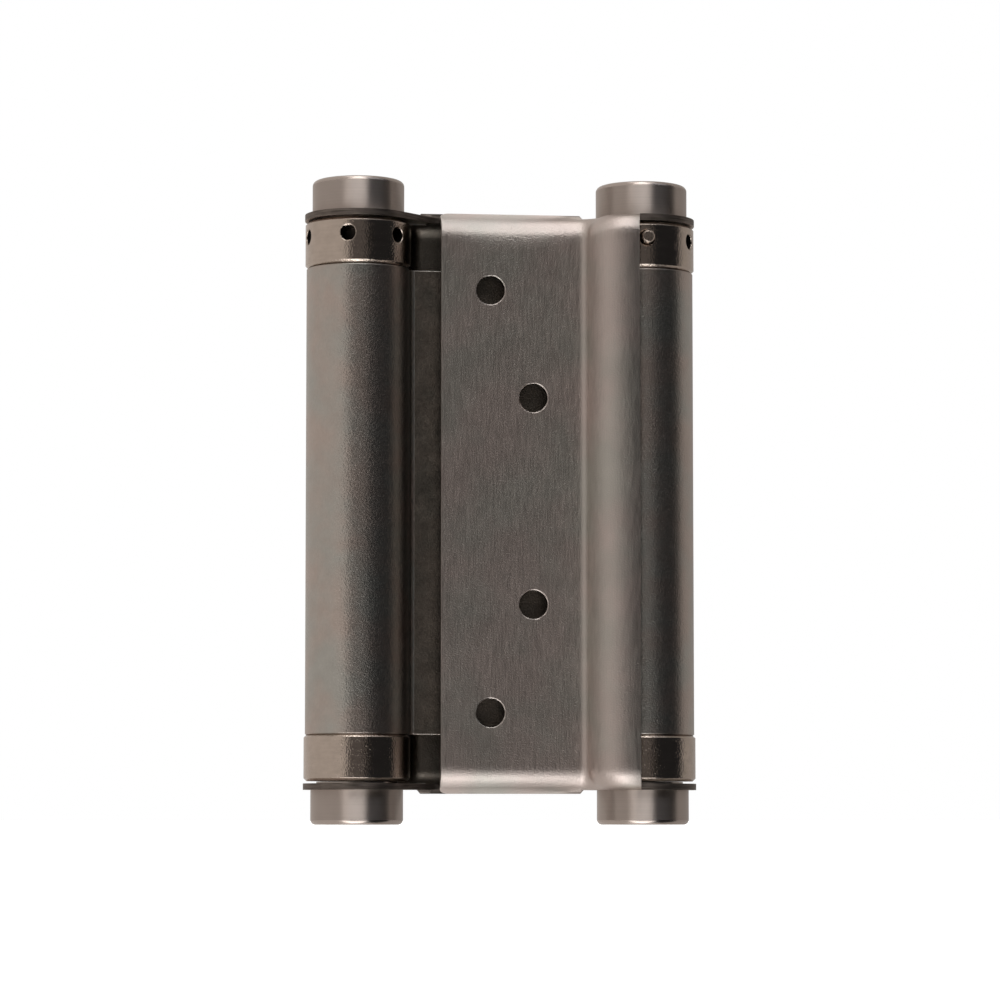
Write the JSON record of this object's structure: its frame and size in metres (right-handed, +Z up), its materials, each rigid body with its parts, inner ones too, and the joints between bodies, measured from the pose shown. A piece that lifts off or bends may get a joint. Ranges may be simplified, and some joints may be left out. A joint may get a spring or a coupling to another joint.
{
  "type": "double action spring hinge",
  "caption": "Double action spring hinge whose leaves turn on spring barrels joined by a web, so that a cafe door swings both ways and closes itself.",
  "frame": {"origin": "middle of the closed hinge's box, midway between the barrels at half their height", "axes": "+Z up along the barrels, +X from the jamb barrel to the door barrel, +Y from the door leaf to the jamb leaf"},
  "size_m": [0.0686, 0.023, 0.112],
  "materials": {
    "leaf_steel": "brushed upright",
    "barrel_steel": "satin",
    "collar_nickel": "polished",
    "cap_steel": "turned satin",
    "pin_steel": "satin",
    "spindle_steel": "ground",
    "washer_steel": "plain",
    "spring_steel": "oil tempered"
  },
  "bodies": {
    "jamb_leaf": {"jamb_leaf": "leaf_steel", "jamb_spindle": "spindle_steel", "jamb_cap_top": "cap_steel", "jamb_cap_bottom": "cap_steel", "jamb_washer_top": "washer_steel", "jamb_washer_bottom": "washer_steel", "jamb_tension_collar": "collar_nickel", "jamb_tension_pin": "pin_steel"},
    "barrels": {"double_barrel": "barrel_steel", "jamb_anchor_collar": "collar_nickel", "door_anchor_collar": "collar_nickel", "jamb_spring": "spring_steel", "door_spring": "spring_steel"},
    "door_leaf": {"door_leaf": "leaf_steel", "door_spindle": "spindle_steel", "door_cap_top": "cap_steel", "door_cap_bottom": "cap_steel", "door_washer_top": "washer_steel", "door_washer_bottom": "washer_steel", "door_tension_collar": "collar_nickel", "door_tension_pin": "pin_steel"}
  },
  "joints": [
    {"name": "jamb_swing", "type": "hinge", "parent": "jamb_leaf", "child": "barrels", "pos_m": [-0.025, 0, 0], "axis": [0, 0, -1], "range_deg": [0, 180], "stiffness_Nm_per_rad": 0.45, "springref_deg": -60.16, "deforming": ["jamb_spring"]},
    {"name": "door_swing", "type": "hinge", "parent": "barrels", "child": "door_leaf", "pos_m": [0.025, 0, 0], "axis": [0, 0, 1], "range_deg": [0, 180], "stiffness_Nm_per_rad": 0.45, "springref_deg": -60.16, "deforming": ["door_spring"]}
  ]
}
